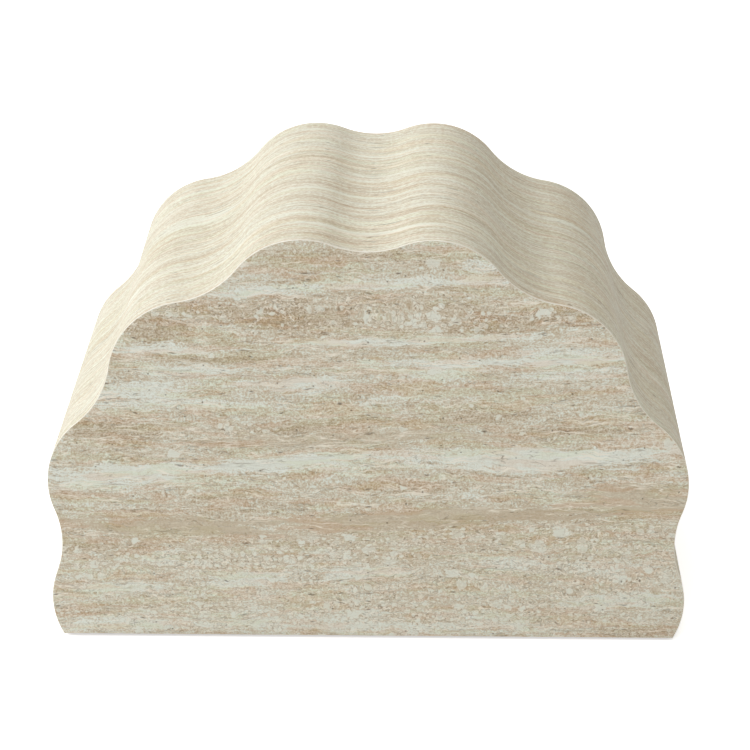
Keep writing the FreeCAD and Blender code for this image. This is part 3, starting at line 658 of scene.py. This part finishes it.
# The short squiggles have a dark line beside the pale one, at another level of the same noise: painted shade
# that makes them look embossed
FACE_LINES = (
    (80, 5, 5.3, 0, 0.08, "F2ECDE", 0.85),
    (40, 4, 14.6, 0, 0.08, "F2ECDE", 0.68),
    (10, 4, 19.3, 0, 0.15, "F2ECDE", 0.78),
    (7, 3.4, 27.7, 0, 0.15, "F2ECDE", 0.6),
    (60, 5, 11.9, 0, 0.05, "857560", 0.5),
    (26, 4, 17.2, 0, 0.05, "776753", 0.5),
    (10, 4, 19.3, 0.2, 0.12, "857560", 0.58),
    (7, 3.4, 27.7, 0.2, 0.12, "857560", 0.46),
)
# Pebble beds end with the share of cells that gain a pebble, and smooth beds with how smooth they are
PEBBLE_BEDS = (
    (90, 104, 200, 13, 3, 0.3),
    (-120, 84, 180, 12, 2, 0.45),
    (0, 24, 280, 16, 2, 0.4),
    (-125, 221, 32, 8, 0, 0.6),
    (70, 328, 60, 10, 0, 0.6),
    (230, 60, 60, 40, 0, 0.2),
    (-190, 330, 40, 10, 0, 0.3),
    (0, 58, 340, 62, 2, 0.1),
    (-30, 328, 210, 14, 1, 0.14),
)
SMOOTH_BEDS = (
    (70, 128, 200, 9, 4, 0.7),
    (255, 148, 60, 16, 2, 0.6),
    (-190, 118, 100, 8, -1, 0.6),
    (-30, 206, 130, 7, 2, 0.4),
)
# The rim is eased a little wider than a file really leaves it, so that it shows, and its pale core there is
# also a painted edge highlight
EASED = 0.6 * MM
EASE_STEPS = 4
BASE_STEPS = 60
# Sizes of the rings of points on the flat, as shares of the whole
RINGS = np.array([0.97, 0.9, 0.78, 0.6, 0.4, 0.2, 0.07])


def face_sheet(name, outer_plane, inner_plane):
    """A thin sheet cut to the whole outline. Rings of points are carried round the scallops and back along
    the base: small ones near the middle, then the flat, then a quarter round over the eased rim, and then
    the flat of the glued side. A point in the middle closes each side."""
    into = np.sign(inner_plane - outer_plane)
    quarter = np.linspace(0, np.pi / 2, EASE_STEPS + 1)
    insets = np.concatenate([EASED * (1 - np.sin(quarter)), [0.0]])
    depths = np.concatenate([outer_plane + into * EASED * (1 - np.cos(quarter)), [inner_plane]])

    def ring(inset, depth):
        """The outline at a depth, drawn in by an inset and closed along the base in even steps."""
        bow = outline(inset, inset)
        share = np.arange(1, BASE_STEPS)[:, None] / BASE_STEPS
        base = bow[-1] + (bow[0] - bow[-1]) * share
        loop = np.vstack([bow, base])
        return np.stack([loop[:, 0], np.full(len(loop), depth), loop[:, 1]], -1)

    rim = np.array([ring(inset, depth) for inset, depth in zip(insets, depths)])
    middle = np.array([0.0, outer_plane, round_height])
    front = middle + RINGS[::-1, None, None] * (rim[0] - middle)
    back_middle = np.array([0.0, inner_plane, round_height])
    back = back_middle + RINGS[:, None, None] * (rim[-1] - back_middle)
    grid = np.concatenate([front, rim, back])
    rows, columns = grid.shape[:2]
    points = np.vstack([grid.reshape(-1, 3), middle, back_middle])
    faces = quads(rows, columns)
    one = np.arange(columns)
    two = (one + 1) % columns
    last = (rows - 1) * columns
    pole = rows * columns
    faces += np.stack([two, one, np.full(columns, pole)], -1).tolist()
    faces += np.stack([last + one, last + two, np.full(columns, pole + 1)], -1).tolist()
    if into < 0:
        faces = [corners[::-1] for corners in faces]
    sheet = piece_from(name, points, faces)
    row = np.arange(len(faces)) // columns
    # The faces over the eased rim take the pale core: bared core and painted edge highlight
    core_highlight_faces = (row >= len(RINGS)) & (row <= len(RINGS) + EASE_STEPS)
    sheet.data.polygons.foreach_set("material_index", core_highlight_faces.astype(np.int32))
    return sheet


# The faces' grain is read from the object: its width along, its height up
def front_grain(tree):
    place = add(tree, "TexCoord").node.outputs["Object"]
    return add(tree, "Mapping", place, Rotation=(-np.pi / 2, 0.0, 0.0))


# The back sheet is cut from the roll the other way up, so its print runs downwards from this height
SHEET_TOP = 403 * MM


def back_grain(tree):
    place = add(tree, "TexCoord").node.outputs["Object"]
    return add(tree, "Mapping", place, Location=(0.0, SHEET_TOP, 0.0), Rotation=(-np.pi / 2, 0.0, np.pi))


front_low, front_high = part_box("front_laminate")
front = face_sheet("front_laminate_sheet", front_low.y, front_high.y)
face_print = (
    FACE_STONE, FACE_HUES, FACE_STRETCH, FACE_GROUND,
    FACE_BEDS, FACE_PATCHES, FACE_LINES, PEBBLE_BEDS, SMOOTH_BEDS,
)
front.data.materials.append(travertine("travertine_print_front", front_grain, *face_print))
front.data.materials.append(core_and_highlight)
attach(front, BODY)
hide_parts("front_laminate")

back_low, back_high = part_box("back_laminate")
back = face_sheet("back_laminate_sheet", back_high.y, back_low.y)
back.data.materials.append(travertine("travertine_print_back", back_grain, *face_print))
back.data.materials.append(core_and_highlight)
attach(back, BODY)
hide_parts("back_laminate")

# Backing sheet
# A plain balancing sheet glued under the base board, so that the board stays flat. Its back was sanded at
# the mill, which leaves fine straight scratches in the brown paper.
SCRATCH = (90 * MM, 1.2 * MM, 1.2 * MM)
backing, tree, shader = new_finish("sanded_backing_laminate")
place = add(tree, "TexCoord").node.outputs["Object"]
laid = add(tree, "Mapping", place, Scale=[1 / size for size in SCRATCH])
scratch = add(tree, "TexNoise", laid, Scale=1.0, Detail=3.0, Roughness=0.7)
colour = add(tree, "ValToRGB", scratch, stops=((0.3, "6E5B48"), (0.7, "8F7A62")))
bump = add(tree, "Bump", Strength=0.2, Distance=0.05 * MM, Height=scratch)
tree.links.new(colour, shader.inputs["Base Color"])
tree.links.new(bump, shader.inputs["Normal"])
shader.inputs["Roughness"].default_value = 0.7
coat(("base_sheet",), backing)

# Glides
# Moulded nylon discs nailed under the base, so that it stands clear of the floor and slides. Milky, with
# the faint satin of a spark-eroded mould.
SPARK = 0.8 * MM
nylon, tree, shader = new_finish("moulded_nylon")
place = add(tree, "TexCoord").node.outputs["Object"]
spark = add(tree, "TexNoise", place, Scale=1 / SPARK, Detail=2.0)
colour = add(tree, "ValToRGB", spark, stops=((0.3, "DAD8CE"), (0.7, "E8E6DD")))
bump = add(tree, "Bump", Strength=0.15, Distance=0.05 * MM, Height=spark)
tree.links.new(colour, shader.inputs["Base Color"])
tree.links.new(bump, shader.inputs["Normal"])
shader.inputs["Roughness"].default_value = 0.45
shader.inputs["Subsurface Weight"].default_value = 0.1
shader.inputs["Subsurface Radius"].default_value = (1.5 * MM, 1.2 * MM, 1.0 * MM)
coat([f"{end}_{side}_glide" for end in ("front", "back") for side in ("left", "right")], nylon)

# Studio
# A pale floor, a surround that lights softly from all round, and three large soft lamps: the main one on the
# left, one high in front and a weak one behind. Floor and surround glow white only where they are looked at.
FLOOR_REACH = 9.0
FLOOR_WHITE = 0.6
SURROUND = 0.27
WARM_WHITE = (1.05, 1.0, 0.9, 1.0)
PURE_WHITE = (1.0, 1.0, 1.0, 1.0)
floor_mesh = bpy.data.meshes.new("floor")
floor_corners = np.array([[-1, -1, 0], [1, -1, 0], [1, 1, 0], [-1, 1, 0]]) * FLOOR_REACH
floor_mesh.from_pydata(floor_corners.tolist(), [], [[0, 1, 2, 3]])
floor = bpy.data.objects.new("floor", floor_mesh)
bpy.context.scene.collection.objects.link(floor)


def seen_directly(tree):
    """One where the camera, a reflection or clear material looks at the surface, and nought where it only
    lights."""
    rays = add(tree, "LightPath").node.outputs
    either = add(tree, "Math", rays["Is Camera Ray"], rays["Is Glossy Ray"], operation="MAXIMUM")
    return add(tree, "Math", either, rays["Is Transmission Ray"], operation="MAXIMUM")


pale_floor, tree, shader = new_finish("pale_floor")
matt = add(tree, "BsdfDiffuse", linear("EDEDED"))
lift = add(tree, "Math", seen_directly(tree), FLOOR_WHITE, operation="MULTIPLY")
glow = add(tree, "Emission", PURE_WHITE, lift)
both = add(tree, "AddShader", matt, glow)
tree.links.new(both, tree.nodes["Material Output"].inputs["Surface"])
tree.nodes.remove(shader)
floor_mesh.materials.append(pale_floor)

world = bpy.data.worlds.new("white_surround")
world.use_nodes = True
bpy.context.scene.world = world
tree = world.node_tree
lighting = tree.nodes["Background"]
lighting.inputs["Color"].default_value = WARM_WHITE
lighting.inputs["Strength"].default_value = SURROUND
white = add(tree, "Background", PURE_WHITE, 1.0)
either = add(tree, "MixShader", seen_directly(tree), lighting.outputs[0], white)
tree.links.new(either, tree.nodes["World Output"].inputs["Surface"])

LAMP_DISTANCE = 6.0
LAMP_SIZE = 3.0
table_middle = np.array([0.0, 0.0, 0.2])


def facing(place, forward, roll=0.0):
    """Matrix of a lamp or camera at a place, looking forward, upright and then rolled."""
    right = np.cross(forward, (0.0, 0.0, 1.0))
    right = right / np.linalg.norm(right)
    up = np.cross(right, forward)
    rolled_right = np.cos(roll) * right + np.sin(roll) * up
    rolled_up = np.cos(roll) * up - np.sin(roll) * right
    turn = np.eye(4)
    turn[:3] = np.stack([rolled_right, rolled_up, -forward, place], 1)
    return Matrix(turn.tolist())


# Each lamp stands at a height angle and a bearing, counted from the left and towards the front. Its watts
# give a white surface that faces it the level named
for name, height_angle, bearing, level, tint in (
    ("left_softbox", 30, 0, 0.68, (0.96, 1.0, 1.05)),
    ("front_softbox", 50, 90, 0.43, (1.0, 1.0, 1.0)),
    ("rear_softbox", 35, 270, 0.14, (1.0, 1.0, 1.0)),
):
    rise, turn = np.radians((height_angle, bearing))
    towards = np.array([-np.cos(rise) * np.cos(turn), -np.cos(rise) * np.sin(turn), np.sin(rise)])
    lamp = bpy.data.lights.new(name, "AREA")
    lamp.size = LAMP_SIZE
    lamp.energy = level * np.pi ** 2 * LAMP_DISTANCE ** 2
    lamp.color = tint
    softbox = bpy.data.objects.new(name, lamp)
    softbox.matrix_world = facing(table_middle + LAMP_DISTANCE * towards, -towards)
    bpy.context.scene.collection.objects.link(softbox)

# Camera
# The photograph's view: from well in front and about 21 degrees above, with a long lens.
PITCH = np.radians(20.878)
YAW = np.radians(-1.175)
ROLL = np.radians(-0.054)
CAMERA_DISTANCE = 2.7995
LENS = 135.036
aim = np.array([3.08 * MM, 0.0, 195.16 * MM])
forward = np.array([np.sin(YAW) * np.cos(PITCH), np.cos(YAW) * np.cos(PITCH), -np.sin(PITCH)])
camera_data = bpy.data.cameras.new("camera")
camera_data.lens = LENS
camera = bpy.data.objects.new("camera", camera_data)
camera.matrix_world = facing(aim - CAMERA_DISTANCE * forward, forward, ROLL)
bpy.context.scene.collection.objects.link(camera)
bpy.context.scene.camera = camera
bpy.context.scene.view_settings.view_transform = "Standard"

bpy.context.view_layer.update()
